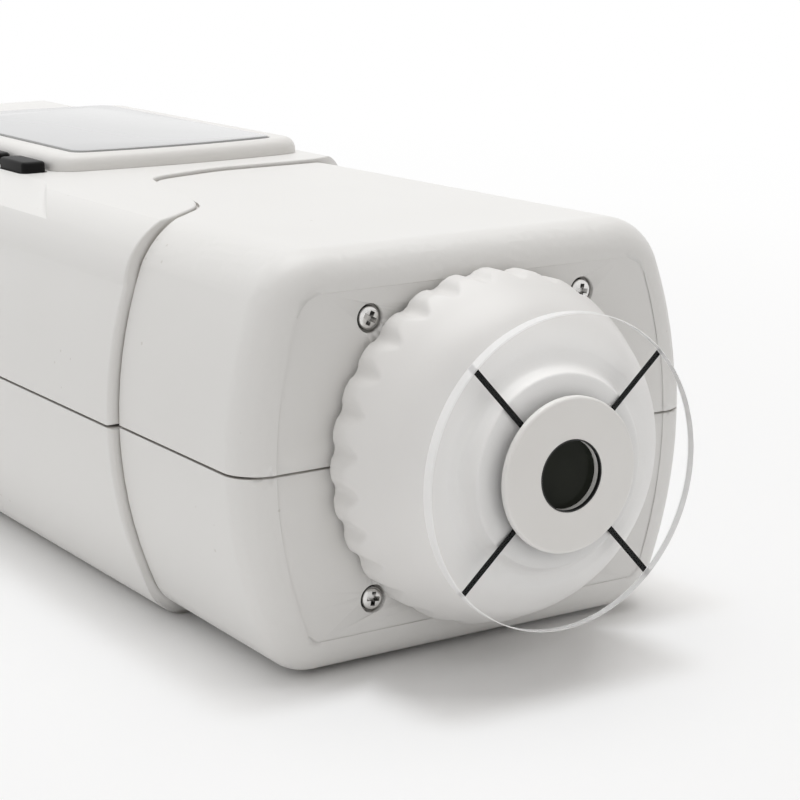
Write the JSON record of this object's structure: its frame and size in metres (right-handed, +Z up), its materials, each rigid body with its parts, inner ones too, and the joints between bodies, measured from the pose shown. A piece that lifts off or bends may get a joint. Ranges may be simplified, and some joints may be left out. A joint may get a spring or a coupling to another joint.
{
  "type": "handheld colorimeter",
  "caption": "Long box-shaped handheld colour meter with a fluted bayonet nose, a clear positioning disc round its measuring hole, and a raised display beside a row of keys.",
  "frame": {"origin": "on the table plane, under the middle of the overall box", "axes": "+X along the measuring axis, out of the nose; +Z up; -Y towards the row of keys"},
  "size_m": [0.205, 0.0666, 0.0524],
  "materials": {
    "shell_white": "fine matte moulding",
    "nose_white": "fine matte moulding",
    "hub_white": "satin, smooth",
    "key_black": "matte",
    "window_grey": "glossy, printed on the back",
    "clear_disc": "clear and polished",
    "line_black": "printed ink",
    "rim_black": "matte",
    "dark_glass": "polished, almost black from outside",
    "screw_steel": "bright plated",
    "board_green": "solder mask",
    "chassis_grey": "moulded, glass-filled",
    "sphere_white": "chalky diffuse",
    "lamp_clear": "moulded lens",
    "battery_blue": "heat-shrink sleeve",
    "socket_metal": "plain plated",
    "socket_black": "matte",
    "button_grey": "matte",
    "module_black": "matte"
  },
  "bodies": {
    "housing": {"upper_shell": "shell_white", "lower_shell": "shell_white", "display_bezel": "shell_white", "display_window": "window_grey", "display_module": "module_black", "key_board": "board_green", "button_board": "board_green", "main_board": "board_green", "battery_pack": "battery_blue", "usb_socket": "socket_metal", "dc_socket": "socket_black", "dc_pin": "socket_metal", "rocker_frame": "socket_black", "face_screws": "screw_steel", "shell_screws": "screw_steel", "front_chassis": "chassis_grey", "integrating_sphere": "sphere_white", "lamp_board": "board_green", "lamps": "lamp_clear", "sensor_board": "board_green", "sensor_tube": "chassis_grey"},
    "nose": {"nose_cap": "nose_white"},
    "gauge": {"positioning_disc": "clear_disc", "sight_lines": "line_black", "hub_ring": "hub_white", "aperture_rim": "rim_black", "aperture_glass": "dark_glass", "glass_retainer": "chassis_grey"},
    "key_right": {"key_right": "key_black"},
    "key_enter": {"key_enter": "key_black"},
    "key_left": {"key_left": "key_black"},
    "key_menu": {"key_menu": "key_black"},
    "measure_button": {"measure_button": "button_grey"},
    "power_rocker": {"power_rocker": "socket_black"},
    "battery_cover": {"battery_cover": "shell_white", "cover_screw": "screw_steel"}
  },
  "joints": [
    {"name": "nose_turn", "type": "hinge", "parent": "housing", "child": "nose", "pos_m": [0.0845, 0, 0.0254], "axis": [1, 0, 0], "range_deg": [0, 30]},
    {"name": "gauge_pull", "type": "slide", "parent": "nose", "child": "gauge", "axis": [1, 0, 0], "range_m": [0, 0.012]},
    {"name": "key_right_press", "type": "slide", "parent": "housing", "child": "key_right", "axis": [0, 0, -1], "range_m": [0, 0.0006], "stiffness_N_per_m": 1200, "springref_m": -0.0005},
    {"name": "key_enter_press", "type": "slide", "parent": "housing", "child": "key_enter", "axis": [0, 0, -1], "range_m": [0, 0.0006], "stiffness_N_per_m": 1200, "springref_m": -0.0005},
    {"name": "key_left_press", "type": "slide", "parent": "housing", "child": "key_left", "axis": [0, 0, -1], "range_m": [0, 0.0006], "stiffness_N_per_m": 1200, "springref_m": -0.0005},
    {"name": "key_menu_press", "type": "slide", "parent": "housing", "child": "key_menu", "axis": [0, 0, -1], "range_m": [0, 0.0006], "stiffness_N_per_m": 1200, "springref_m": -0.0005},
    {"name": "measure_press", "type": "slide", "parent": "housing", "child": "measure_button", "axis": [0, -1, 0], "range_m": [0, 0.001], "stiffness_N_per_m": 1000, "springref_m": -0.0006},
    {"name": "power_tilt", "type": "hinge", "parent": "housing", "child": "power_rocker", "pos_m": [-0.0999, 0.0099, 0.0159], "axis": [0, -1, 0], "range_deg": [0, 18]},
    {"name": "cover_lift", "type": "slide", "parent": "housing", "child": "battery_cover", "axis": [0, 0, -1], "range_m": [0, 0.012]}
  ]
}
